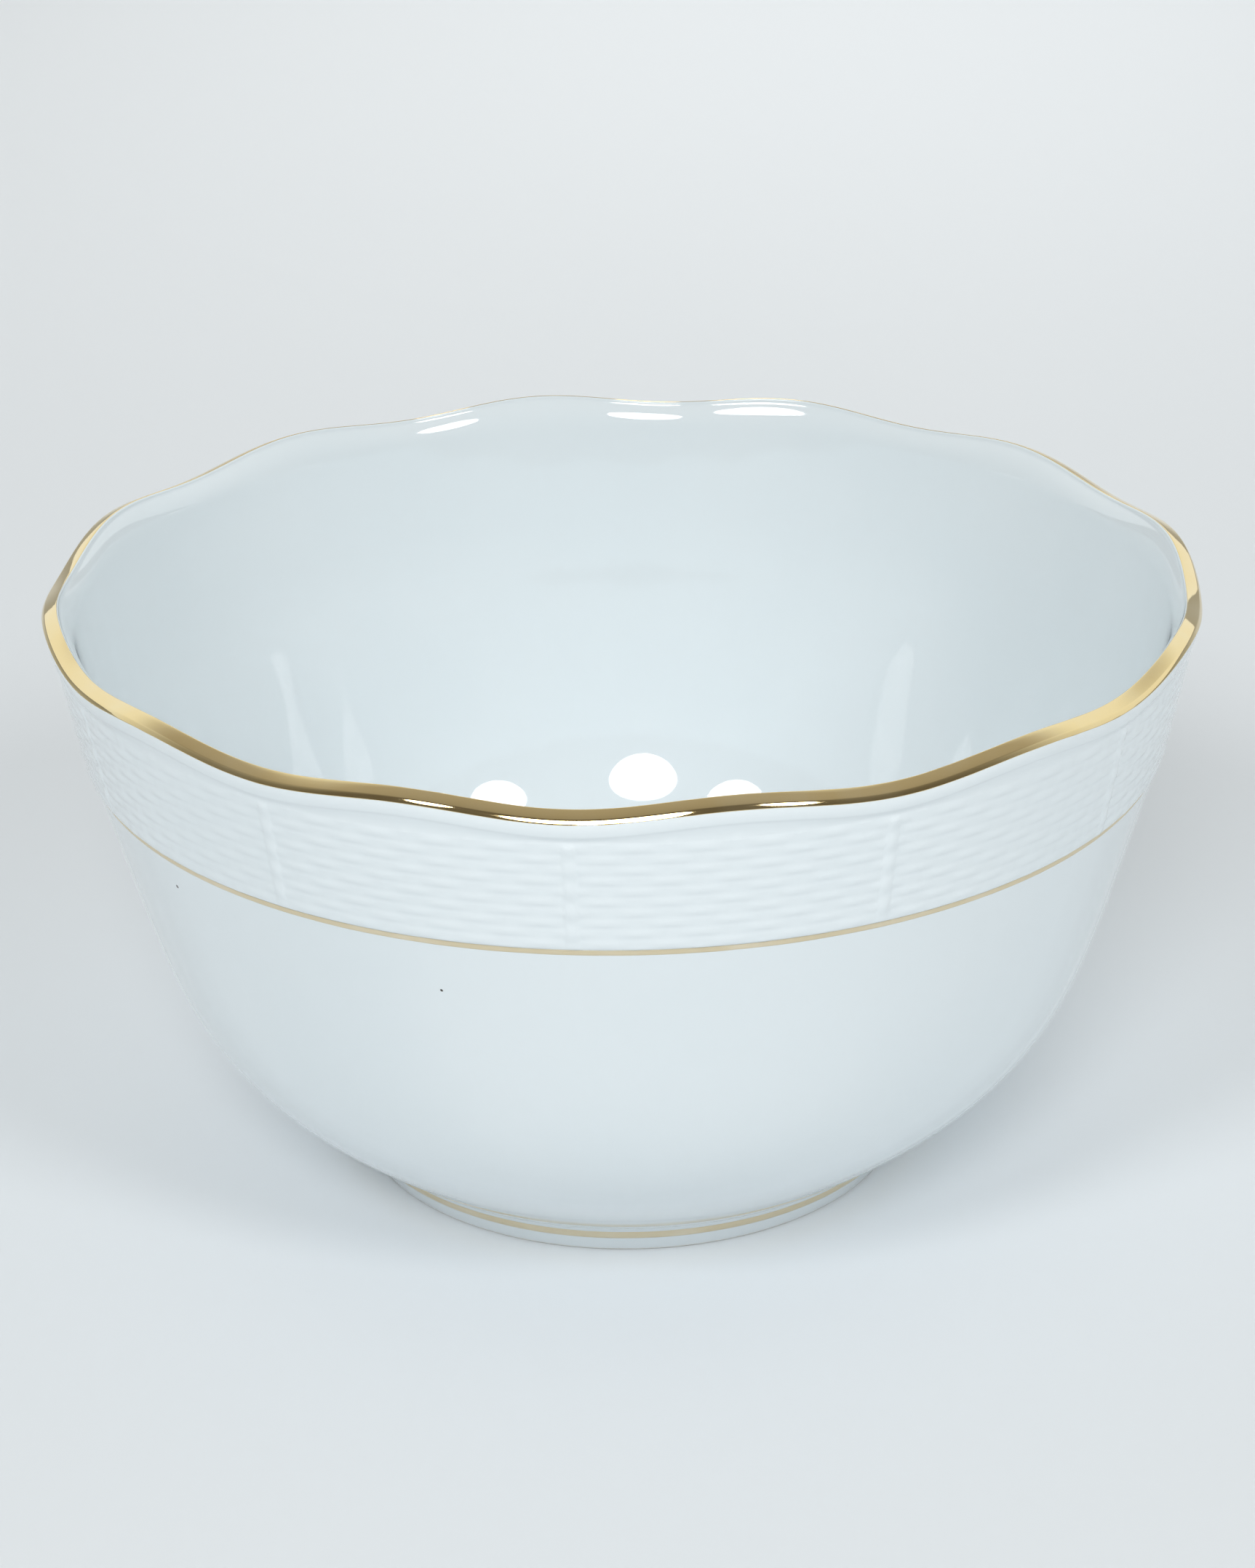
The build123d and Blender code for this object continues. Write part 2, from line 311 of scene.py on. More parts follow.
@dataclass(frozen=True)
class GlazedPorcelain:
    """Cool white porcelain under a clear glaze, bare on the ring that it was fired on.

    Attributes:
        body: colour of the porcelain through its glaze.
        cool: colour of its faint cooler clouds.
        pooled: colour where the glaze lies thick.
        bare: colour of the ground ring.
        iron: colour of a speck.
        gloss: roughness of the glaze.
        bare_roughness: of the ground ring.
        bare_height: how far up the ring is bare, in millimetres.
        bare_fade: where the glaze is whole again, as a multiple of bare_height.
        specks: the iron specks.
        speck_core: share of a speck's radius that is fully dark.
        speck_edge: share of its radius where it has gone.
        speck_ragged: how far a speck's edge strays, in millimetres.
        frayed: lumps of a speck's edge.
        clouds: patches of the cooler colour.
        cloud_strength: how much of it they show.
        pooling: how much the hollows of the weave darken.
        pinholes: tiny pits in the glaze.
        pinhole_strength: how much they darken.
        grain: of the ground ring.
        grain_depth: its height beside that of the glaze's own unevenness.
        smears: patches where the glaze is duller.
        smear_dulling: how much roughness they add.
        peel: the glaze's own slow unevenness.
        unevenness: how strongly the light shows it.
        relief_depth: height of that unevenness, in millimetres.
        refraction: of the glaze.
        coat: strength of the glaze's clear coat.
        coat_roughness: of that coat.
    """

    body: Colour = (0.765, 0.83, 0.86)
    cool: Colour = (0.73, 0.805, 0.84)
    pooled: Colour = (0.56, 0.655, 0.70)
    bare: Colour = (0.74, 0.70, 0.62)
    iron: Colour = (0.05, 0.04, 0.035)
    gloss: float = 0.03
    bare_roughness: float = 0.78
    bare_height: float = 0.45
    bare_fade: float = 1.6
    specks: tuple[Speck, ...] = (Speck(-47.9, 89.2, 111.0), Speck(-13.7, 84.1, 109.6, 0.32))
    speck_core: float = 0.6
    speck_edge: float = 1.2
    speck_ragged: float = 0.5
    frayed: Mottle = Mottle(1800.0, 2.0, 6.0)
    clouds: Mottle = Mottle(14.0, 4.0, 1.0, 0.35, 0.65)
    cloud_strength: float = 0.55
    pooling: float = 0.03
    pinholes: Mottle = Mottle(1400.0, 1.0, 2.0, 0.80, 0.86)
    pinhole_strength: float = 0.25
    grain: Mottle = Mottle(900.0, 4.0, 3.0)
    grain_depth: float = 0.6
    smears: Mottle = Mottle(22.0, 5.0, 4.0, 0.45, 0.75)
    smear_dulling: float = 0.03
    peel: Mottle = Mottle(75.0, 2.0, 5.0)
    unevenness: float = 0.12
    relief_depth: float = 0.04
    refraction: float = 1.52
    coat: float = 0.3
    coat_roughness: float = 0.03

    def material(self) -> bpy.types.Material:
        """Builds the finish.

        Returns:
            The material.
        """
        material, bench, shader = start_material("glazed_porcelain")
        place = bench.wire("ShaderNodeTexCoord", None, None, "Object")
        height = bench.wire("ShaderNodeSeparateXYZ", None, {0: place}, "Z")
        clouds = bench.patches(place, self.clouds)
        colour = bench.mix(clouds * self.cloud_strength, opaque(self.body), opaque(self.cool))
        pooling = bench.clamped(bench.attribute("hollow"))
        colour = bench.mix(pooling * self.pooling, colour, opaque(self.pooled))
        pinholes = bench.patches(place, self.pinholes)
        colour = bench.mix(pinholes * self.pinhole_strength, colour, opaque(self.pooled))
        bare_top = self.bare_height * MM
        bare = 1.0 - bench.ease(height, bare_top, self.bare_fade * bare_top)
        grain = bench.lumps(place, self.grain)
        bare_colour = bench.mix(grain, opaque(self.bare), opaque(self.body))
        colour = bench.mix(bare, colour, bare_colour)
        for speck in self.specks:
            colour = bench.mix(self._speck_mask(bench, place, speck), colour, opaque(self.iron))
        glazed_roughness = self.gloss + self.smear_dulling * bench.patches(place, self.smears)
        roughness = glazed_roughness + bare * (self.bare_roughness - glazed_roughness)
        surface = bench.lumps(place, self.peel) + bare * grain * self.grain_depth
        bump = bench.bump(surface, self.unevenness, self.relief_depth)
        connect(bench, shader, Base_Color=colour, Roughness=roughness, Normal=bump)
        shader.inputs["IOR"].default_value = self.refraction
        shader.inputs["Coat Weight"].default_value = self.coat
        shader.inputs["Coat Roughness"].default_value = self.coat_roughness
        return material

    def _speck_mask(self, bench: Bench, place: Wire, speck: Speck) -> Wire:
        """1 on a speck and 0 off it, with a ragged edge."""
        away = bench.wire(
            "ShaderNodeVectorMath", {"operation": "DISTANCE"}, {0: place, 1: speck.place()}, "Value"
        )
        ragged = away + (bench.lumps(place, self.frayed) - 0.5) * (self.speck_ragged * MM)
        core, edge = (speck.radius * share * MM for share in (self.speck_core, self.speck_edge))
        return 1.0 - bench.ease(ragged, core, edge)


@dataclass(frozen=True)
class Gilding:
    """Fired gold, brushed on by hand and rubbed thinner where the bowl is handled.

    Attributes:
        name: the material's name.
        gold: colour where the gold is thick.
        thin: colour where it is thin.
        metal: how metallic the finish is.
        roughness: of the polished gold.
        wear: how much of the surface looks thin.
        brush: how strongly the brush has left its marks.
        patches: where the gold is rubbed.
        patch_share: their part in how thin it looks.
        patch_dulling: how much roughness they add.
        strokes: marks of the brush.
        stroke_share: their part in how thin it looks.
        stroke_dulling: how much roughness they add.
        stroke_strength: how strongly the light shows them.
        stroke_depth: their height, in millimetres.
        thin_loss: how much less metallic thin gold is.
    """

    name: str
    gold: Colour
    thin: Colour
    metal: float
    roughness: float
    wear: float
    brush: float
    patches: Mottle = Mottle(90.0, 5.0, 7.0, 0.42, 0.72)
    patch_share: float = 0.7
    patch_dulling: float = 0.16
    strokes: Mottle = Mottle(650.0, 4.0, 8.0)
    stroke_share: float = 0.3
    stroke_dulling: float = 0.08
    stroke_strength: float = 0.5
    stroke_depth: float = 0.04
    thin_loss: float = 0.35

    def material(self) -> bpy.types.Material:
        """Builds the finish.

        Returns:
            The material.
        """
        material, bench, shader = start_material(self.name)
        place = bench.wire("ShaderNodeTexCoord", None, None, "Object")
        patches = bench.patches(place, self.patches)
        strokes = bench.lumps(place, self.strokes)
        thin = bench.clamped((patches * self.patch_share + strokes * self.stroke_share) * self.wear)
        colour = bench.mix(thin, opaque(self.gold), opaque(self.thin))
        dulling = (self.patch_dulling * patches + self.stroke_dulling * strokes) * self.brush
        roughness = self.roughness + dulling
        bump = bench.bump(strokes, self.stroke_strength * self.brush, self.stroke_depth)
        metallic = self.metal - self.thin_loss * self.brush * thin
        connect(bench, shader, Base_Color=colour, Roughness=roughness, Metallic=metallic, Normal=bump)
        return material


BURNISHED_GOLD = Gilding(
    name="burnished_gold",
    gold=(0.77, 0.60, 0.30),
    thin=(0.78, 0.67, 0.43),
    metal=1.0,
    roughness=0.04,
    wear=0.5,
    brush=0.15,
)
MATT_GOLD = Gilding(
    name="matt_gold",
    gold=(0.72, 0.62, 0.42),
    thin=(0.78, 0.71, 0.56),
    metal=0.50,
    roughness=0.34,
    wear=0.8,
    brush=1.0,
)


@dataclass(frozen=True)
class PaleFloor:
    """Smooth pale studio floor.

    Attributes:
        tone: its colour.
        shade: colour of its faint clouds.
        clouds: how large they are.
        roughness: of the whole floor.
    """

    tone: Colour = (0.80, 0.84, 0.875)
    shade: Colour = (0.77, 0.81, 0.835)
    clouds: Mottle = Mottle(1.4, 2.0, 9.0)
    roughness: float = 0.8

    def material(self) -> bpy.types.Material:
        """Builds the finish.

        Returns:
            The material.
        """
        material, bench, shader = start_material("pale_floor")
        place = bench.wire("ShaderNodeTexCoord", None, None, "Object")
        clouds = bench.lumps(place, self.clouds)
        connect(bench, shader, Base_Color=bench.mix(clouds, opaque(self.tone), opaque(self.shade)))
        shader.inputs["Roughness"].default_value = self.roughness
        return material


# ---------------------------------------------------------------- moulded shape, as Geometry Nodes


@dataclass(frozen=True)
class Relief:
    """Sizes of everything that is moulded or shaped round the bowl, in millimetres.

    Attributes:
        lobes: scallops round the lip, with a rib at each dip.
        rise: the lip rises and dips this much.
        bulge: and swells this much at each lobe.
        stakes: upright stakes round the weave.
        strand: how far an over-going strand stands out.
        stake: how far a stake stands out between strands.
        rib_width: across one rib.
        rib: how far a rib stands out.
        unround: how far the hand-made wall strays from true.
        wander: how far the painted edges stray.
        seed: of the lumps below.
        waver: lumps by which the wall strays.
        tremble: lumps by which the painted edges stray.
        tremble_seed: how far their seed is from the wall's.
        waver_lift: share of the wall's waver that goes upwards too.
        under_share: height that a strand keeps where it passes under.
        strand_curve: how abruptly it dips under.
        stake_half: half a stake's width, in stake spacings.
        rib_curve: how round a rib is across.
        bead_dip: height that a rib keeps between its beads.
        bead_phase: place up the weave of the first bead's middle, in rows.
        hollow_depth: share of a strand's height below which the glaze pools.
    """

    lobes: float = 12.0
    rise: float = 1.05
    bulge: float = 0.25
    stakes: float = 120.0
    strand: float = 0.21
    stake: float = 0.10
    rib_width: float = 3.0
    rib: float = 0.40
    unround: float = 0.18
    wander: float = 0.09
    seed: float = 4.0
    waver: Mottle = Mottle(11.0, 1.0)
    tremble: Mottle = Mottle(160.0, 2.0)
    tremble_seed: float = 3.0
    waver_lift: float = 0.5
    under_share: float = 0.12
    strand_curve: float = 1.2
    stake_half: float = 0.3
    rib_curve: float = 0.8
    bead_dip: float = 0.4
    bead_phase: float = 1.5
    hollow_depth: float = 0.8

    def inputs(self) -> dict[str, float]:
        """The tree's named inputs, lengths in metres."""
        return {
            "Lobes": self.lobes,
            "Rise": self.rise * MM,
            "Bulge": self.bulge * MM,
            "Stakes": self.stakes,
            "Strand": self.strand * MM,
            "Stake": self.stake * MM,
            "Rib width": self.rib_width * MM,
            "Rib": self.rib * MM,
            "Unround": self.unround * MM,
            "Wander": self.wander * MM,
            "Seed": self.seed,
        }


class Mould:
    """Geometry Nodes that press scallops, weave, ribs and a hand-made waver into a turned shape."""

    # metres, so that nothing is divided by a radius of zero
    AXIS_CLEARANCE = 1e-5

    def __init__(self, relief: Relief) -> None:
        """Builds the tree once, for every piece that follows it."""
        self.relief = relief
        self.tree = bpy.data.node_groups.new("moulded_round_the_bowl", "GeometryNodeTree")
        self.bench = Bench(self.tree)
        self._build()

    def _build(self) -> None:
        """Makes the sockets and the nodes of the tree."""
        interface = self.tree.interface
        interface.new_socket("Geometry", in_out="INPUT", socket_type="NodeSocketGeometry")
        for name in self.relief.inputs():
            interface.new_socket(name, in_out="INPUT", socket_type="NodeSocketFloat")
        interface.new_socket("Finish", in_out="INPUT", socket_type="NodeSocketMaterial")
        interface.new_socket("Geometry", in_out="OUTPUT", socket_type="NodeSocketGeometry")
        bench = self.bench
        given = bench.node("NodeGroupInput")
        size = {socket.name: Wire(bench, socket) for socket in given.outputs if socket.name}
        place = bench.wire("GeometryNodeInputPosition")
        parts = bench.node("ShaderNodeSeparateXYZ", None, {0: place})
        x, y, z = (Wire(bench, socket) for socket in parts.outputs)
        radius = bench.math("MAXIMUM", (x * x + y * y) ** 0.5, self.AXIS_CLEARANCE)
        turn = bench.math("ARCTAN2", y, x) + math.pi / 2
        moulded, hollow = self._pattern(size, turn, radius)
        lobe = bench.math("COSINE", turn * size["Lobes"]) * -1.0 * bench.field_attribute("share")
        outwards, upwards = self._offsets(size, place, radius, lobe, moulded)
        stretch = 1.0 + outwards / radius
        moved = bench.wire(
            "ShaderNodeCombineXYZ", None, {0: x * stretch, 1: y * stretch, 2: z + upwards}
        )
        set_place = bench.wire(
            "GeometryNodeSetPosition", None, {"Geometry": size["Geometry"], "Position": moved}
        )
        stored = bench.wire(
            "GeometryNodeStoreNamedAttribute",
            {"data_type": "FLOAT", "domain": "POINT"},
            {"Geometry": set_place, "Name": "hollow", "Value": hollow},
        )
        real = bench.wire("GeometryNodeRealizeInstances", None, {"Geometry": stored})
        dressed = bench.wire(
            "GeometryNodeSetMaterial", None, {"Geometry": real, "Material": size["Finish"]}
        )
        bench.node("NodeGroupOutput", None, {0: dressed})

    def _offsets(
        self, size: dict[str, Wire], place: Wire, radius: Wire, lobe: Wire, moulded: Wire
    ) -> tuple[Wire, Wire]:
        """How far each point moves.

        Args:
            size: the tree's inputs.
            place: the point.
            radius: its distance from the axis.
            lobe: -1 at a dip of the lip and 1 at a crest, times the point's share.
            moulded: height of the moulded pattern.

        Returns:
            The move outwards and the move upwards.
        """
        bench, relief = self.bench, self.relief
        names = ("free", "edge_out", "edge_up", "face_out", "face_up")
        free, edge_out, edge_up, face_out, face_up = (bench.field_attribute(name) for name in names)
        waver = (bench.lumps(place, relief.waver, size["Seed"]) - 0.5) * size["Unround"] * free
        tremble = bench.lumps(place, relief.tremble, size["Seed"] + relief.tremble_seed)
        stray = (tremble - 0.5) * 2.0 * size["Wander"]
        outwards = size["Bulge"] * lobe + waver + stray * edge_out + moulded * face_out
        upwards = size["Rise"] * lobe + waver * relief.waver_lift + stray * edge_up + moulded * face_up
        return outwards, upwards

    def _pattern(self, size: dict[str, Wire], turn: Wire, radius: Wire) -> tuple[Wire, Wire]:
        """The over-and-under weave with its ribs.

        Args:
            size: the tree's inputs.
            turn: angle round from the first rib.
            radius: distance from the axis.

        Returns:
            The pattern's height, and how deep in a hollow each point is, from 0 to 1.
        """
        bench, relief = self.bench, self.relief
        woven = bench.field_attribute("woven")
        row = bench.field_attribute("row")
        line = bench.math("FLOOR", row)
        crown = bench.math("SINE", (row - line) * math.pi)
        stake_turn = turn * size["Stakes"] / FULL_TURN
        over = bench.swing((stake_turn + line + 1.0) * math.pi)
        strand = crown * (relief.under_share + (1.0 - relief.under_share) * over**relief.strand_curve)
        off_stake = bench.math("PINGPONG", stake_turn, 0.5)
        stake = bench.ease(off_stake, relief.stake_half, 0.0) * (1.0 - over)
        surface = bench.math("MAXIMUM", strand * size["Strand"], stake * size["Stake"]) * woven
        spacing = FULL_TURN / size["Lobes"]
        off_rib = bench.math("PINGPONG", turn, spacing / 2.0) * radius * 2.0 / size["Rib width"]
        round_rib = bench.math("MAXIMUM", 1.0 - off_rib * off_rib, 0.0) ** relief.rib_curve
        bead = bench.swing((row - relief.bead_phase) * math.pi)
        beaded = relief.bead_dip + (1.0 - relief.bead_dip) * bead
        rib = round_rib * beaded * size["Rib"] * bench.field_attribute("ribbed")
        height = bench.math("MAXIMUM", surface, rib)
        hollow = bench.clamped(1.0 - height / (size["Strand"] * relief.hollow_depth)) * woven
        return height, hollow

    def press(self, piece: bpy.types.Object, material: bpy.types.Material) -> None:
        """Runs the tree on a piece and keeps the result as its plain mesh.

        Args:
            piece: a turned shape with the tree's attributes.
            material: its finish.
        """
        modifier = piece.modifiers.new("mould", "NODES")
        modifier.node_group = self.tree
        values = {**self.relief.inputs(), "Finish": material}
        for socket in self.tree.interface.items_tree:
            if socket.item_type == "SOCKET" and socket.in_out == "INPUT" and socket.name in values:
                modifier[socket.identifier] = values[socket.name]
        graph = bpy.context.evaluated_depsgraph_get()
        pressed = bpy.data.meshes.new_from_object(piece.evaluated_get(graph), depsgraph=graph)
        piece.modifiers.remove(modifier)
        turned, piece.data = piece.data, pressed
        bpy.data.meshes.remove(turned)
        pressed.name = piece.name


# ---------------------------------------------------------------- turned shapes


@dataclass(frozen=True)
class Station:
    """One ring of a turned shape: where it is, in millimetres, and how the mould treats it.

    Attributes:
        radius: from the axis.
        height: above the resting plane.
        share: of the lip's scalloping that it takes part in.
        row: place up the weave, in rows.
        woven: 1 where the weave shows.
        ribbed: 1 where the ribs show.
        edge: direction in which a painted edge strays, outwards and upwards.
    """

    radius: float
    height: float
    share: float = 0.0
    row: float = 0.0
    woven: float = 0.0
    ribbed: float = 0.0
    edge: Point = (0.0, 0.0)


@dataclass
class Turning:
    """A turned surface, gathered ring by ring.

    Attributes:
        name: of the piece.
        face: direction in which the pattern stands out, outwards and upwards.
        free_from: height from which the hand-made waver starts, in millimetres.
        points: places of all points, in metres.
        faces: the points of each face.
        stations: the station of each point.
        rings: the points of each ring, with their angles.
    """

    name: str
    face: Point = (1.0, 0.0)
    free_from: float = 9.0
    points: list[tuple[float, float, float]] = field(default_factory=list)
    faces: list[tuple[int, ...]] = field(default_factory=list)
    stations: list[Station] = field(default_factory=list)
    rings: list[tuple[list[int], list[float]]] = field(default_factory=list)

    def pole(self, height: float) -> None:
        """Adds a closing point on the axis."""
        self._add_ring(Station(0.0, height), [0.0])

    def run(self, stations: list[Station], angles: list[float]) -> None:
        """Adds a ring for each station, with points at those angles."""
        for station in stations:
            self._add_ring(station, angles)

    def _add_ring(self, station: Station, angles: list[float]) -> None:
        """Adds one ring and joins it to the ring before it.

        Args:
            station: where the ring is.
            angles: of its points, round from the first rib.
        """
        start = len(self.points)
        radius, height = station.radius * MM, station.height * MM
        for angle in angles:
            self.points.append((radius * math.sin(angle), -radius * math.cos(angle), height))
            self.stations.append(station)
        ring = (list(range(start, start + len(angles))), angles)
        if self.rings:
            self._join(self.rings[-1], ring)
        self.rings.append(ring)

    def close(self) -> None:
        """Joins the last ring to the first."""
        self._join(self.rings[-1], self.rings[0])

    def _join(self, low: tuple[list[int], list[float]], high: tuple[list[int], list[float]]) -> None:
        """Fills between two rings, which may have different numbers of points."""
        (low_ids, low_angles), (high_ids, high_angles) = low, high
        if len(low_ids) == 1 or len(high_ids) == 1:
            self._fan(low_ids, high_ids)
        elif low_angles is high_angles:
            count = len(low_ids)
            for i in range(count):
                j = (i + 1) % count
                self.faces.append((low_ids[i], low_ids[j], high_ids[j], high_ids[i]))
        else:
            self._zip(low_ids, low_angles, high_ids, high_angles)

    def _fan(self, low_ids: list[int], high_ids: list[int]) -> None:
        """Closes a ring onto a pole."""
        ring, tip = (high_ids, low_ids[0]) if len(low_ids) == 1 else (low_ids, high_ids[0])
        for i, corner in enumerate(ring):
            after = ring[(i + 1) % len(ring)]
            self.faces.append((after, corner, tip) if len(low_ids) == 1 else (corner, after, tip))

    def _zip(
        self, low_ids: list[int], low_angles: list[float], high_ids: list[int], high_angles: list[float]
    ) -> None:
        """Joins two rings with triangles, always stepping on along the ring that lags."""
        i = j = 0
        while i < len(low_ids) or j < len(high_ids):
            low_next = low_angles[i + 1] if i + 1 < len(low_ids) else FULL_TURN
            high_next = high_angles[j + 1] if j + 1 < len(high_ids) else FULL_TURN
            low_here, high_here = low_ids[i % len(low_ids)], high_ids[j % len(high_ids)]
            if j >= len(high_ids) or (i < len(low_ids) and low_next <= high_next):
                self.faces.append((low_here, low_ids[(i + 1) % len(low_ids)], high_here))
                i += 1
            else:
                self.faces.append((low_here, high_ids[(j + 1) % len(high_ids)], high_here))
                j += 1

    def piece(self) -> bpy.types.Object:
        """Makes the object, with the mould's attributes on its points.

        Returns:
            The object, linked to the scene.
        """
        mesh = bpy.data.meshes.new(self.name)
        mesh.from_pydata(self.points, [], self.faces)
        values = {
            "share": [s.share for s in self.stations],
            "row": [s.row for s in self.stations],
            "woven": [s.woven for s in self.stations],
            "ribbed": [s.ribbed for s in self.stations],
            "edge_out": [s.edge[0] for s in self.stations],
            "edge_up": [s.edge[1] for s in self.stations],
            "face_out": [self.face[0]] * len(self.stations),
            "face_up": [self.face[1]] * len(self.stations),
            "free": [min(1.0, max(0.0, s.height / self.free_from - 1.0)) for s in self.stations],
        }
        for name, numbers in values.items():
            mesh.attributes.new(name, "FLOAT", "POINT").data.foreach_set("value", numbers)
        mesh.polygons.foreach_set("use_smooth", [True] * len(mesh.polygons))
        mesh.update()
        made = bpy.data.objects.new(self.name, mesh)
        bpy.context.scene.collection.objects.link(made)
        return made


# places of the rings that fill a stretch of wall, and a flat from the axis out
QUARTERS = (0.25, 0.5, 0.75)
AXIS_SHARES = (0.06, *QUARTERS)


def even_angles(count: int) -> list[float]:
    """Angles evenly round a full turn."""
    return [FULL_TURN * index / count for index in range(count)]


def between(first: float, last: float, share: float) -> float:
    """The value part of the way from first to last."""
    return first + (last - first) * share


def blend(weights: tuple[float, ...], points: tuple[Point, ...]) -> Point:
    """The weighted sum of points."""
    return tuple(sum(w * point[axis] for w, point in zip(weights, points)) for axis in (0, 1))


# share of a side that the rounding of one corner may take
LONGEST_EASE = 0.45


def eased(points: list[Point], size: float, steps: int = 3) -> list[Point]:
    """Rounds each inner corner of a profile.

    Args:
        points: the profile's corners.
        size: how far from the corner the rounding starts, in millimetres.
        steps: points on each rounding.

    Returns:
        The eased profile, with the same ends.
    """
    profile = [points[0]]
    for before, corner, after in zip(points, points[1:], points[2:]):
        ends = []
        for other in (before, after):
            share = min(LONGEST_EASE, size / math.dist(corner, other))
            ends.append(tuple(between(c, o, share) for c, o in zip(corner, other)))
        for step in range(steps + 1):
            place = step / steps
            weights = ((1 - place) ** 2, 2 * place * (1 - place), place**2)
            bend = (ends[0], corner, ends[1])
            profile.append(blend(weights, bend))
    return [*profile, points[-1]]


def arc(centre: Point, radius: float, start: float, end: float, steps: int) -> list[Point]:
    """Points along an arc of a profile, angles in degrees."""
    angles = [math.radians(between(start, end, step / steps)) for step in range(steps + 1)]
    return [(centre[0] + radius * math.cos(a), centre[1] + radius * math.sin(a)) for a in angles]


# ---------------------------------------------------------------- the bowl's section


@dataclass(frozen=True)
class Section:
    """The bowl's section, in millimetres, with its main places read from the frame.

    Attributes:
        relief: what is moulded into it.
        lip_thickness: across the lip.
        lip_inner_round: radius of its inner edge.
        lip_inner_steps: points on that edge.
        lip_arcs: the rest of the lip outwards: radius, first and last facing in degrees, steps.
        gilt_start: the point of the lip's outline where the gold starts.
        lap: how far the lip's outline runs on down each side.
        collar_depth: from the crest down to the level where the scalloping starts.
        collar_thickness: of the wall there.
        strip_depth: from the crest down to the lower edge of the plain strip.
        strip_lean: how far the strip leans out for each millimetre up.
        strip_round: rounding of the strip's edges.
        groove_depth: of the groove under the strip.
        groove_width: of that groove.
        weave_ledge: step outwards from the border line to the weave.
        weave_clearance: level gap between the weave and what borders it.
        weave_top_inset: how far the top of the weave is inside the lip.
        ledge_share: place of the ledge's inner ring, from the line to the weave.
        ledge_drop: how far that ring is under the weave.
        rows: of the weave.
        steps_per_row: rings in each row.
        rib_fade_steps: rings over which the ribs come up at each end.
        belly_steps: rings up the belly.
        well_steps: rings down the well's wall.
        line_width: of the border line.
        line_proud: how far both lines stand out in the frame.
        foot_line_width: of the foot line in the frame.
        foot_line_painted: width that the foot line is painted here.
        foot_line_film: how far it stands out here.
        foot_taper: how far the foot ring leans out for each millimetre up.
        foot_height: where the belly starts.
        foot_ring_width: of the ring that the bowl rests on.
        foot_shoulder: ledge between the foot ring and the belly.
        foot_shoulder_drop: how far the ring's top is under the belly.
        foot_edge_round: rounding of the ring's edges.
        foot_draft: how far the recess narrows upwards.
        foot_corner: rounding between the recess's wall and ceiling.
        foot_corner_limit: share of the recess's height that this rounding may take.
        wall: thickness of the belly at the top.
        base: thickness at the foot and of the floor.
        floor_drop: from the foot of the well's wall down to the floor.
        belly_lean: degrees that the belly leans out under the border line.
        belly_foot_rise: degrees that it rises by at the foot.
        belly_top_fullness: how long it keeps to its upper slope.
        belly_foot_fullness: how long it keeps to its lower slope.
        flare_lean: how far the flare leans out for each millimetre up, at first.
        flare_power: how late it opens.
    """

    relief: Relief
    lip_thickness: float = 3.4
    lip_inner_round: float = 0.45
    lip_inner_steps: int = 6
    lip_arcs: tuple[tuple[float, float, float, int], ...] = (
        (15.0, 73.0, 64.0, 3),
        (0.7, 64.0, 34.0, 4),
        (4.6, 34.0, 25.0, 4),
    )
    gilt_start: int = 5
    lap: float = 0.1
    collar_depth: float = 6.9
    collar_thickness: float = 4.7
    strip_depth: float = 4.6
    strip_lean: float = 0.22
    strip_round: float = 0.8
    groove_depth: float = 0.35
    groove_width: float = 0.5
    weave_ledge: float = 0.5
    weave_clearance: float = 0.35
    weave_top_inset: float = 1.6
    ledge_share: float = 0.75
    ledge_drop: float = 0.12
    rows: int = 10
    steps_per_row: int = 6
    rib_fade_steps: int = 2
    belly_steps: int = 27
    well_steps: int = 25
    line_width: float = 1.3
    line_proud: float = 0.05
    foot_line_width: float = 1.2
    foot_line_painted: float = 2.2
    foot_line_film: float = 0.05
    foot_taper: float = 0.46
    foot_height: float = 7.6
    foot_ring_width: float = 4.6
    foot_shoulder: float = 1.1
    foot_shoulder_drop: float = 0.7
    foot_edge_round: float = 0.6
    foot_draft: float = 1.2
    foot_corner: float = 2.4
    foot_corner_limit: float = 0.8
    wall: float = 4.0
    base: float = 5.0
    floor_drop: float = 1.5
    belly_lean: float = 16.4
    belly_foot_rise: float = 35.3
    belly_top_fullness: float = 0.595
    belly_foot_fullness: float = 0.735
    flare_lean: float = 0.19
    flare_power: float = 2.6

    @cached_property
    def belly_slope(self) -> float:
        """How far the wall leans out for each millimetre up, under the border line."""
        return math.tan(math.radians(self.belly_lean))

    @cached_property
    def lip_radius(self) -> float:
        """Mean outer radius of the lip."""
        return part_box("rim_gilding")[1].x / MM + self.relief.bulge

    @cached_property
    def lip_middle(self) -> float:
        """Mean radius of the middle of the lip."""
        return self.lip_radius - self.lip_thickness / 2

    @cached_property
    def crest(self) -> float:
        """Mean height of the lip's crest."""
        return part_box("rim_gilding")[1].z / MM - self.relief.rise

    @cached_property
    def border_line(self) -> Point:
        """Middle of the border line's face."""
        low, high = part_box("border_gold_line")
        radius = high.x / MM - self.line_proud - self.belly_slope * self.line_width / 2
        return radius, (low.z + high.z) / 2 / MM

    @cached_property
    def foot_line(self) -> Point:
        """Middle of the foot line's face."""
        low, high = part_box("foot_gold_line")
        radius = high.x / MM - self.line_proud - self.foot_taper * self.foot_line_width / 2
        return radius, (low.z + high.z) / 2 / MM

    @cached_property
    def collar(self) -> float:
        """Height of the level where the scalloping starts."""
        return self.crest - self.collar_depth

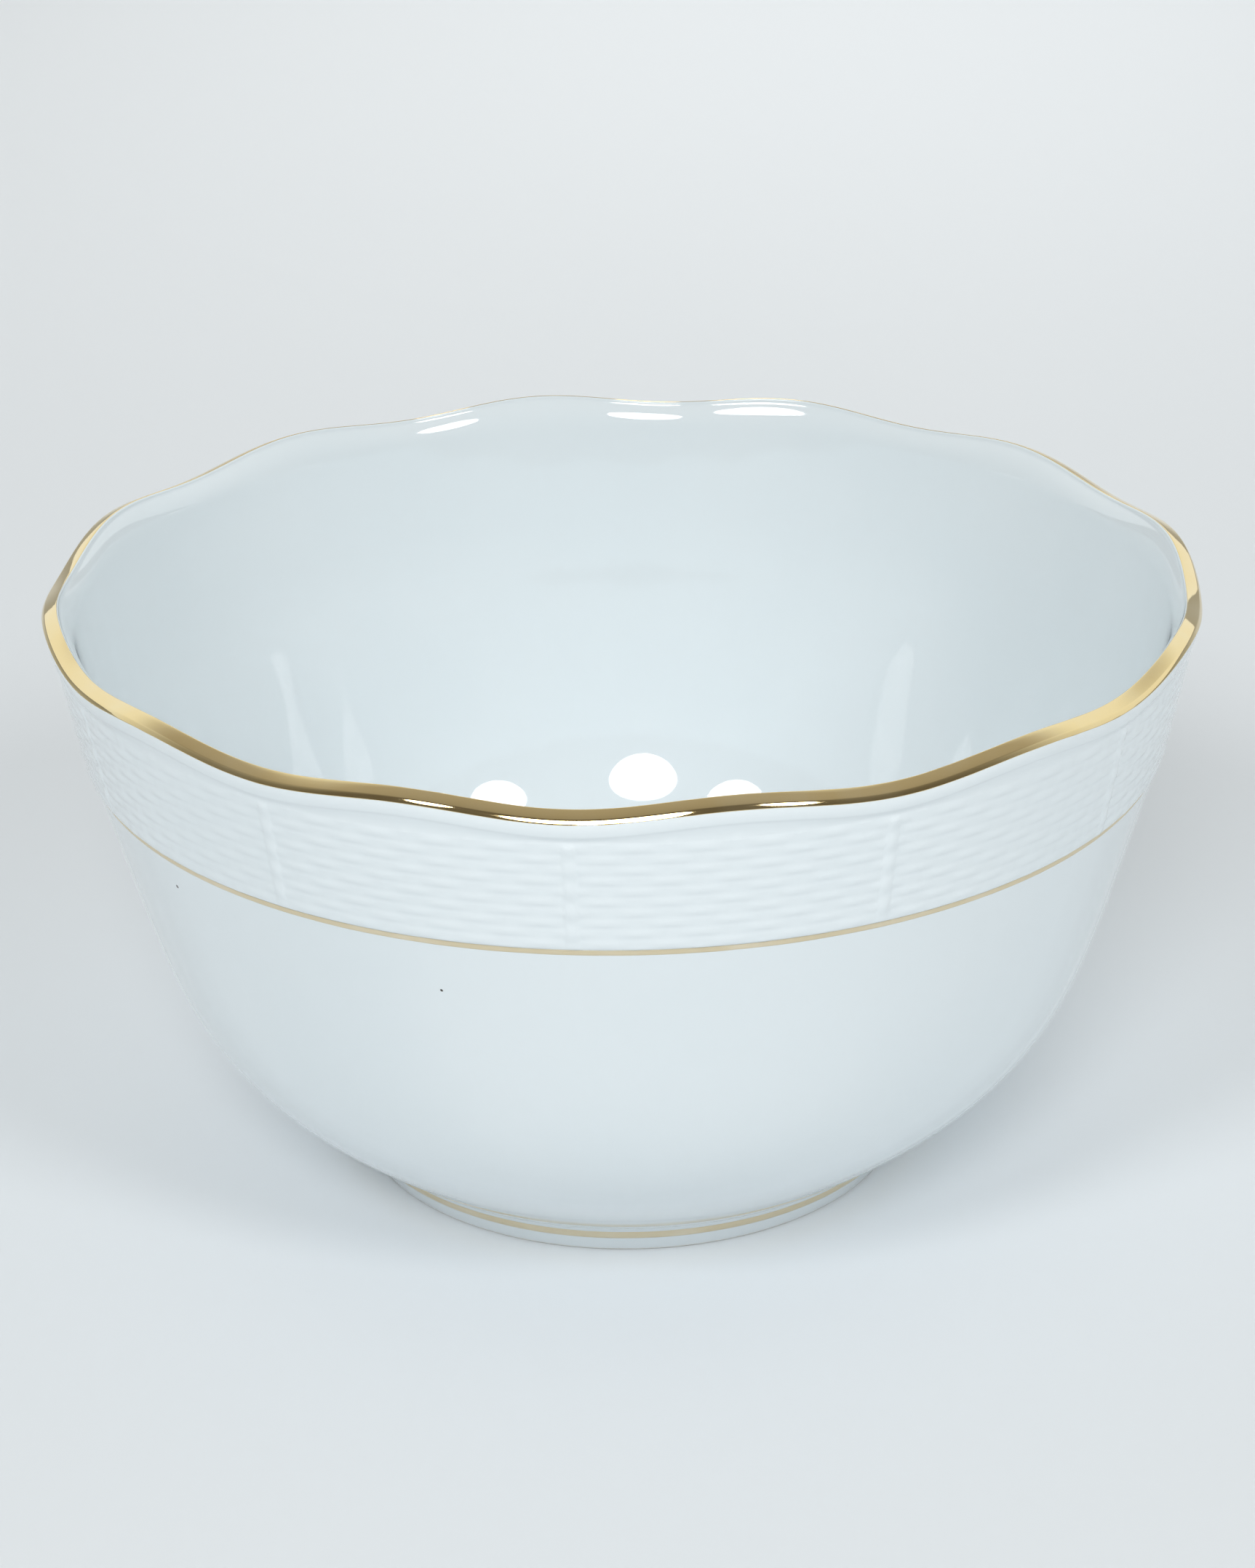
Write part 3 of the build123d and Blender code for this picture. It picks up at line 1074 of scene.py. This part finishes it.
    @cached_property
    def weave_line(self) -> tuple[Point, Point]:
        """Lower and upper end of the line that the weave stands on."""
        radius, height = self.border_line
        half = self.line_width / 2
        low_radius = radius + self.belly_slope * half + self.weave_ledge
        low_height = height + half + self.weave_clearance
        high = (self.lip_radius - self.weave_top_inset, self.collar - self.weave_clearance)
        return (low_radius, low_height), high

    @cached_property
    def weave_face(self) -> Point:
        """Direction in which the weave stands out, outwards and upwards."""
        (low_radius, low_height), (high_radius, high_height) = self.weave_line
        run, rise = high_radius - low_radius, high_height - low_height
        length = math.hypot(run, rise)
        return rise / length, -run / length

    def belly(self, steps: int) -> list[Point]:
        """The outer curve of the belly, from the foot ring up to the border line."""
        line_radius, line_height = self.border_line
        half = self.line_width / 2
        top = (line_radius - self.belly_slope * half, line_height - half)
        foot = (self.foot_top[0] + self.foot_shoulder, self.foot_height)
        drop = self.belly_top_fullness * (top[1] - foot[1])
        reach = self.belly_foot_fullness * (top[0] - foot[0])
        lower = (foot[0] + reach, foot[1] + reach * math.tan(math.radians(self.belly_foot_rise)))
        upper = (top[0] - drop * self.belly_slope, top[1] - drop)
        return [self._bezier((foot, lower, upper, top), step / steps) for step in range(steps + 1)]

    @staticmethod
    def _bezier(handles: tuple[Point, ...], place: float) -> Point:
        """A point of a cubic curve."""
        back = 1 - place
        weights = (back**3, 3 * back * back * place, 3 * back * place * place, place**3)
        return blend(weights, handles)

    @cached_property
    def foot_top(self) -> Point:
        """Upper edge of the foot ring's outer face."""
        radius, height = self.foot_line
        top = self.foot_height - self.foot_shoulder_drop
        return radius + self.foot_taper * (top - height), top

    def well(self, steps: int) -> list[Point]:
        """The inside of the belly, from under the collar down to the foot of the well's wall."""
        outer = self.belly(steps)
        (r0, z0), (r1, z1) = outer[:2]
        slant = math.hypot(r1 - r0, z1 - z0)
        inner = [(r0 - (z1 - z0) / slant * self.base, z0 + (r1 - r0) / slant * self.base)]
        for (r0, z0), (r1, z1), step in zip(outer, outer[1:], range(steps)):
            place = 1 - (step + 0.5) / steps
            thickness = between(self.wall, self.base, place**2)
            run, rise = r1 - r0, z1 - z0
            length = math.hypot(run, rise)
            radius = (r0 + r1) / 2 - rise / length * thickness
            inner.append((radius, (z0 + z1) / 2 + run / length * thickness))
        return inner[::-1]

    @cached_property
    def floor(self) -> float:
        """Height of the flat floor of the well."""
        return self.well(self.well_steps)[-1][1] - self.floor_drop

    def well_corner(self, steps: int) -> list[Point]:
        """Down the rounded corner from the foot of the well's wall, without it, to the flat floor."""
        (above_radius, above_height), foot = self.well(self.well_steps)[-2:]
        run = self.floor_drop * (above_radius - foot[0]) / (above_height - foot[1])
        corner = (foot[0] - run, self.floor)
        flat_start = (corner[0] - math.hypot(run, self.floor_drop), self.floor)
        points = []
        for step in range(1, steps + 1):
            share = step / steps
            down = [between(f, c, share) for f, c in zip(foot, corner)]
            across = [between(c, f, share) for c, f in zip(corner, flat_start)]
            points.append((between(down[0], across[0], share), between(down[1], across[1], share)))
        return points

    def lip_outline(self, out: float) -> list[Point]:
        """Over the lip from inside to outside, as offsets from its middle and crest.

        Args:
            out: how far outside the finished face.

        Returns:
            The offsets.
        """
        half = self.lip_thickness / 2
        radius = self.lip_inner_round
        centre = (-half + radius, -radius)
        outline = [(-half - out, -radius - self.lap)]
        outline += arc(centre, radius + out, 180, self.lip_arcs[0][1], self.lip_inner_steps)
        for next_radius, start, end, steps in self.lip_arcs:
            facing = math.radians(start)
            centre = (
                centre[0] + (radius - next_radius) * math.cos(facing),
                centre[1] + (radius - next_radius) * math.sin(facing),
            )
            radius = next_radius
            outline += arc(centre, radius + out, start, end, steps)[1:]
        fall = math.tan(math.radians(self.lip_arcs[-1][2]))
        outline.append((outline[-1][0] + fall * self.lap, outline[-1][1] - self.lap))
        return outline

    def flare(self, steps: int) -> list[tuple[float, float, float]]:
        """Up the flare of the well: offset from the lip's middle, from its crest, and share."""
        start = self.weave_line[1][0] - self.collar_thickness - self.lip_middle
        gilt_inside = self.lip_outline(0.0)[0]
        rise = gilt_inside[1] + self.collar_depth
        opening = gilt_inside[0] - start - self.flare_lean * rise
        rings = []
        for step in range(steps):
            share = step / steps
            out = start + self.flare_lean * rise * share + opening * share**self.flare_power
            rings.append((out, rise * share - self.collar_depth, share))
        return rings


# ---------------------------------------------------------------- pieces


@dataclass
class Piece:
    """A sub-assembly of the bowl that stands for one CAD node."""

    section: Section
    mould: Mould

    def dress(
        self, turning: Turning, material: bpy.types.Material, node: str, slot: Slot
    ) -> bpy.types.Object:
        """Presses a turned shape, finishes it and puts it in its CAD node's place.

        Args:
            turning: the turned shape.
            material: its finish.
            node: the CAD node that it stands for.
            slot: the record's material slot; not used.

        Returns:
            The finished piece.
        """
        piece = turning.piece()
        self.mould.press(piece, material)
        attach(piece, "root")
        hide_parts(node)
        triangles = sum(len(face.vertices) - 2 for face in piece.data.polygons)
        LOG.info("%s: %d triangles", piece.name, triangles)
        return piece


@dataclass
class PorcelainBody(Piece):
    """The foot ring, belly, woven border, lip and well, fired as one.

    Attributes:
        plain_steps: points round the belly, foot and well.
        lip_steps: points round the lip.
        rib_steps: points across each rib and its flanks.
        web_steps: points across the weave between two ribs.
        rib_zone: degrees each side of a rib that are stepped finely.
        edge_steps: rings on each rounding of the foot ring.
        recess_steps: rings on the rounding of the recess.
        corner_steps: rings on the corner between the well's wall and floor.
        flare_steps: rings down the flare.
        recess_rim: share of the recess's radius where its outermost flat ring is.
    """

    # keeps the topmost ring inside the last row of the weave
    ROW_CLEARANCE = 1e-4

    plain_steps: int = 300
    lip_steps: int = 480
    rib_steps: int = 14
    web_steps: int = 52
    rib_zone: float = 1.0
    edge_steps: int = 4
    recess_steps: int = 5
    corner_steps: int = 6
    flare_steps: int = 10
    recess_rim: float = 0.9

    def build(self) -> bpy.types.Object:
        """Turns, presses and dresses the body.

        Returns:
            The finished piece.
        """
        turning = Turning("porcelain_body", self.section.weave_face)
        plain, lip = even_angles(self.plain_steps), even_angles(self.lip_steps)
        turning.pole(self._recess_height)
        turning.run(self._foot(), plain)
        turning.run(self._belly(), plain)
        turning.run(self._weave(), self._weave_angles())
        turning.run(self._lip(), lip)
        turning.run(self._well(), plain)
        turning.pole(self.section.floor)
        return self.dress(turning, GlazedPorcelain().material(), "bowl_body", Slot.PORCELAIN)

    @property
    def _recess_height(self) -> float:
        """Height of the recess under the floor."""
        return self.section.floor - self.section.base

    def _weave_angles(self) -> list[float]:
        """Angles for the weave, closer together at each rib."""
        lobes = int(self.section.relief.lobes)
        spacing, zone = FULL_TURN / lobes, math.radians(self.rib_zone)
        half = self.rib_steps // 2
        right = [zone * step / half for step in range(half)]
        web = [between(zone, spacing - zone, step / self.web_steps) for step in range(self.web_steps)]
        left = [spacing - zone + zone * step / half for step in range(half)]
        return [spacing * index + angle for index in range(lobes) for angle in (*right, *web, *left)]

    def _foot(self) -> list[Station]:
        """From the recess out over the resting face and up the foot ring."""
        s, top = self.section, self._recess_height
        radius, height = s.foot_line
        edge = radius - s.foot_taper * (height - s.foot_edge_round)
        seat = edge - s.foot_ring_width
        wall = seat - s.foot_draft
        corner = min(s.foot_corner, s.foot_corner_limit * top)
        ceiling = [(wall * share, top) for share in (*AXIS_SHARES, self.recess_rim)]
        rounded = arc((wall - corner, top - corner), corner, 90, 0, self.recess_steps)
        foot = (radius - s.foot_taper * height, 0.0)
        corners = [rounded[-1], (seat, 0.0), foot, s.foot_top, s.belly(s.belly_steps)[0]]
        ring = eased(corners, s.foot_edge_round, self.edge_steps)
        return [Station(*point) for point in (*ceiling, *rounded, *ring[1:-1])]

    def _belly(self) -> list[Station]:
        """Up the belly to the middle of the border line."""
        s = self.section
        return [Station(*point) for point in (*s.belly(s.belly_steps), s.border_line)]

    def _weave(self) -> list[Station]:
        """Up the woven border, from over the border line to the collar."""
        s = self.section
        (low_radius, low_height), (high_radius, high_height) = s.weave_line
        line_radius, line_height = s.border_line
        upper_edge = (line_radius + s.belly_slope * s.line_width / 2, line_height + s.line_width / 2)
        ledge = (between(upper_edge[0], low_radius, s.ledge_share), low_height - s.ledge_drop)
        stations = [Station(*upper_edge), Station(*ledge)]
        total = s.rows * s.steps_per_row
        for step in range(total + 1):
            share = step / total
            from_end = min(step, total - step) / s.rib_fade_steps
            stations.append(
                Station(
                    between(low_radius, high_radius, share),
                    between(low_height, high_height, share),
                    row=min(s.rows - self.ROW_CLEARANCE, s.rows * share),
                    woven=1.0,
                    ribbed=min(1.0, from_end),
                )
            )
        return stations

    def _lip(self) -> list[Station]:
        """Up the plain strip, over the lip and down the flare."""
        s = self.section
        outline = s.lip_outline(0.0)
        strip_end = outline[-1][0] - s.strip_lean * (s.strip_depth + outline[-1][1])
        collar_out = s.weave_line[1][0] - s.lip_middle
        corners = [
            (collar_out, -s.collar_depth),
            (strip_end - s.groove_depth, -s.strip_depth - s.groove_width),
            (strip_end, -s.strip_depth),
            outline[-1],
        ]
        groove_rise = s.collar_depth - s.strip_depth - s.groove_width
        rings = []
        for out, up in eased(corners, s.strip_round):
            rings.append((out, up, min(1.0, (up + s.collar_depth) / groove_rise)))
        rings += [(out, up, 1.0) for out, up in reversed(outline[:-1])]
        rings += reversed(s.flare(self.flare_steps))
        return [Station(s.lip_middle + out, s.crest + up, share=share) for out, up, share in rings]

    def _well(self) -> list[Station]:
        """Down the inside to the floor."""
        s = self.section
        points = s.well(s.well_steps)
        top_radius, top_height = points[0]
        collar_radius = s.weave_line[1][0] - s.collar_thickness
        joining = [
            (between(collar_radius, top_radius, share), between(s.collar, top_height, share))
            for share in QUARTERS
        ]
        corner = s.well_corner(self.corner_steps)
        inward = [(corner[-1][0] * share, s.floor) for share in reversed(AXIS_SHARES)]
        return [Station(*point) for point in (*joining, *points, *corner, *inward)]


@dataclass
class RimGilding(Piece):
    """The gold brushed over the lip.

    Attributes:
        film: how far the gold stands out from the porcelain.
        sunk: how far its unseen side is set in.
        steps: points round it.
    """

    film: float = 0.03
    sunk: float = 0.1
    steps: int = 720

    def build(self) -> bpy.types.Object:
        """Turns, presses and dresses the gilding.

        Returns:
            The finished piece.
        """
        s = self.section
        outer = s.lip_outline(self.film)[s.gilt_start :]
        inner = s.lip_outline(-self.sunk)[s.gilt_start :]
        last = len(outer) + len(inner) - 1
        stations = []
        for index, (out, up) in enumerate((*reversed(outer), *inner)):
            at_edge = index in (0, len(outer) - 1, len(outer), last)
            edge = (0.0, 1.0) if at_edge else (0.0, 0.0)
            stations.append(Station(s.lip_middle + out, s.crest + up, share=1.0, edge=edge))
        turning = Turning("lip_gilding")
        turning.run(stations, even_angles(self.steps))
        turning.close()
        return self.dress(turning, BURNISHED_GOLD.material(), "rim_gilding", Slot.BURNISHED)


@dataclass
class GoldLine(Piece):
    """A gold line drawn round the bowl on a wheel.

    Attributes:
        name: of the piece.
        node: the CAD node that it stands for.
        middle: of its face.
        lean: how far the wall leans out for each millimetre up.
        width: of the line.
        film: how far the gold stands out from the porcelain.
        sunk: how far its unseen side is set in.
        shoulder: share of its half width where its face turns in to its edge.
        crown: film in the middle, as a multiple of the film at the shoulders.
        steps: points round it.
    """

    name: str
    node: str
    middle: Point
    lean: float
    width: float
    film: float = 0.035
    sunk: float = 0.15
    shoulder: float = 0.8
    crown: float = 1.15
    steps: int = 480

    def build(self) -> bpy.types.Object:
        """Turns, presses and dresses the line.

        Returns:
            The finished piece.
        """
        radius, height = self.middle
        length = math.hypot(self.lean, 1.0)
        along = (self.lean / length, 1.0 / length)
        out = (1.0 / length, -self.lean / length)
        stations = []
        for side, depth in (
            (-1.0, -self.sunk),
            (-1.0, 0.0),
            (-self.shoulder, self.film),
            (0.0, self.crown * self.film),
            (self.shoulder, self.film),
            (1.0, 0.0),
            (1.0, -self.sunk),
        ):
            reach = side * self.width / 2
            stations.append(
                Station(
                    radius + along[0] * reach + out[0] * depth,
                    height + along[1] * reach + out[1] * depth,
                    edge=(-along[0] * side, -along[1] * side),
                )
            )
        turning = Turning(self.name)
        turning.run(stations, even_angles(self.steps))
        turning.close()
        return self.dress(turning, MATT_GOLD.material(), self.node, Slot.MATT)


# ---------------------------------------------------------------- studio


def direction(turn: float, lift: float) -> Vector:
    """The way to a light or to the camera from what it faces.

    Args:
        turn: degrees round from -Y, towards +X.
        lift: degrees above level.

    Returns:
        A vector of length 1.
    """
    turn, lift = math.radians(turn), math.radians(lift)
    level = math.cos(lift)
    return Vector((level * math.sin(turn), -level * math.cos(turn), math.sin(lift)))


@dataclass(frozen=True)
class Softbox:
    """An oval soft light.

    Attributes:
        name: of the light.
        turn: degrees round from -Y, towards +X, seen from the point it faces.
        elevation: degrees above level.
        spread: degrees that it spans across and upwards, seen from the point it faces.
        radiance: how bright its face is.
        distance: metres from what it faces.
        target: the point it faces.
        beam: degrees across the cone it shines into.
    """

    name: str
    turn: float
    elevation: float
    spread: tuple[float, float]
    radiance: float
    distance: float = 3.0
    target: tuple[float, float, float] = (0.0, 0.0, 0.06)
    beam: float = 180.0

    def build(self) -> bpy.types.Object:
        """Makes the light.

        Returns:
            The light.
        """
        data = bpy.data.lights.new(self.name, "AREA")
        data.shape = "ELLIPSE"
        data.size, data.size_y = (
            2 * self.distance * math.tan(math.radians(angle / 2)) for angle in self.spread
        )
        data.spread = math.radians(self.beam)
        # each unit of an even face's area sends out pi times its radiance
        data.energy = self.radiance * math.pi * math.pi / 4 * data.size * data.size_y
        made = bpy.data.objects.new(self.name, data)
        away = direction(self.turn, self.elevation)
        made.location = Vector(self.target) + away * self.distance
        made.rotation_euler = away.to_track_quat("Z", "Y").to_euler()
        bpy.context.scene.collection.objects.link(made)
        return made


@dataclass(frozen=True)
class Viewpoint:
    """Where the camera stands; angles in degrees, distances in metres.

    Attributes:
        lens: focal length, in millimetres.
        sensor: its width, in millimetres.
        turn: degrees round from -Y, towards +X.
        pitch: degrees that it looks down by.
        roll: degrees that it leans.
        distance: from what it looks at.
        aim_height: of what it looks at, on the bowl's axis.
        aim_side: how far to the right of that it looks.
    """

    lens: float = 91.84
    sensor: float = 36.0
    turn: float = 5.17
    pitch: float = 23.91
    roll: float = -0.86
    distance: float = 0.8538
    aim_height: float = 0.0803
    aim_side: float = 0.00033

    def build(self) -> bpy.types.Object:
        """Makes the camera and hands it to the scene.

        Returns:
            The camera.
        """
        turn = math.radians(self.turn)
        right = Vector((math.cos(turn), math.sin(turn), 0.0))
        back = direction(self.turn, self.pitch)
        up = back.cross(right)
        stand = Matrix((right, up, back)).transposed().to_4x4()
        lean = Matrix.Rotation(math.radians(self.roll), 4, "Z")
        place = Vector((0.0, 0.0, self.aim_height)) + right * self.aim_side + back * self.distance
        data = bpy.data.cameras.new("camera")
        data.lens = self.lens
        data.sensor_width = self.sensor
        made = bpy.data.objects.new("camera", data)
        made.matrix_world = Matrix.Translation(place) @ stand @ lean
        bpy.context.scene.collection.objects.link(made)
        bpy.context.scene.camera = made
        return made


@dataclass(frozen=True)
class Studio:
    """Pale swept floor, soft sky, three softboxes on the bowl and a light on the floor behind it.

    Attributes:
        floor_size: of the floor, across and from front to back, in metres.
        sweep_start: where the floor starts to rise behind the bowl, in metres.
        sweep_radius: of that rise, in metres.
        sweep_turn: degrees that it turns by.
        sweep_steps: faces on it.
        softboxes: the lights.
        sky_strength: how bright the sky is.
        backdrop: colour of the sky low down behind the bowl.
        ceiling: its colour overhead.
        room: its colour on the camera's side.
        front_fade: how far forward a direction looks where the room begins and where it is full.
        ceiling_fade: how far up it looks where the ceiling begins and where it is full.
    """

    floor_size: float = 9.0
    sweep_start: float = 0.45
    sweep_radius: float = 2.2
    sweep_turn: float = 40.0
    sweep_steps: int = 20
    softboxes: tuple[Softbox, ...] = (
        Softbox("softbox_middle", 0.0, 36.0, (16.8, 20.5), 13.0),
        Softbox("softbox_right", 46.0, 37.3, (14.0, 16.5), 13.0),
        Softbox("softbox_left", -30.6, 40.5, (13.6, 17.0), 13.0),
        Softbox(
            "backdrop_light",
            0.0,
            89.9,
            (30.0, 30.0),
            1.05,
            distance=1.1,
            target=(0.0, 0.95, 0.0),
            beam=80.0,
        ),
    )
    sky_strength: float = 1.15
    backdrop: Colour = (0.94, 0.985, 1.0)
    ceiling: Colour = (0.42, 0.41, 0.385)
    room: Colour = (0.13, 0.12, 0.105)
    front_fade: Point = (-0.6, 0.5)
    ceiling_fade: Point = (0.5, 0.8)

    def build(self) -> None:
        """Sets up the floor, the sky, the lights and the camera."""
        self._floor()
        self._sky()
        for softbox in self.softboxes:
            softbox.build()
        Viewpoint().build()
        bpy.context.scene.view_settings.view_transform = "Standard"

    def _floor(self) -> None:
        """Lays the floor under the bowl, swept up behind it."""
        half = self.floor_size / 2
        profile = [(-half, 0.0), (self.sweep_start, 0.0)]
        centre = (self.sweep_start, self.sweep_radius)
        profile += arc(centre, self.sweep_radius, -90, self.sweep_turn - 90, self.sweep_steps)[1:]
        points = [(side * half, y, z) for y, z in profile for side in (-1, 1)]
        faces = [(2 * i, 2 * i + 1, 2 * i + 3, 2 * i + 2) for i in range(len(profile) - 1)]
        mesh = bpy.data.meshes.new("studio_floor")
        mesh.from_pydata(points, [], faces)
        mesh.polygons.foreach_set("use_smooth", [True] * len(mesh.polygons))
        mesh.materials.append(PaleFloor().material())
        floor = bpy.data.objects.new("studio_floor", mesh)
        bpy.context.scene.collection.objects.link(floor)

    def _sky(self) -> None:
        """Lights the room softly from all round, darker low down on the camera's side."""
        world = bpy.data.worlds.new("studio_sky")
        bpy.context.scene.world = world
        world.use_nodes = True
        world.node_tree.nodes.clear()
        bench = Bench(world.node_tree)
        direction = bench.wire("ShaderNodeTexCoord", None, None, "Generated")
        parts = bench.node("ShaderNodeSeparateXYZ", None, {0: direction})
        across, upwards = Wire(bench, parts.outputs["Y"]), Wire(bench, parts.outputs["Z"])
        front = bench.ease(across * -1.0, *self.front_fade)
        ceiling = bench.ease(upwards, *self.ceiling_fade)
        colour = bench.mix(ceiling, opaque(self.backdrop), opaque(self.ceiling))
        colour = bench.mix(front, colour, opaque(self.room))
        light = bench.wire(
            "ShaderNodeBackground", None, {"Color": colour, "Strength": self.sky_strength}
        )
        bench.node("ShaderNodeOutputWorld", None, {"Surface": light})


# ---------------------------------------------------------------- the whole bowl


def main() -> None:
    """Sets up the studio and makes the bowl piece by piece."""
    logging.basicConfig(level=logging.INFO, format="%(name)s: %(message)s")
    Studio().build()
    relief = Relief()
    section, mould = Section(relief), Mould(relief)
    for piece in (
        PorcelainBody(section, mould),
        RimGilding(section, mould),
        GoldLine(
            section,
            mould,
            name="border_line",
            node="border_gold_line",
            middle=section.border_line,
            lean=section.belly_slope,
            width=section.line_width,
        ),
        GoldLine(
            section,
            mould,
            name="foot_line",
            node="foot_gold_line",
            middle=section.foot_line,
            lean=section.foot_taper,
            width=section.foot_line_painted,
            film=section.foot_line_film,
        ),
    ):
        piece.build()


if __name__ == "__main__":
    main()
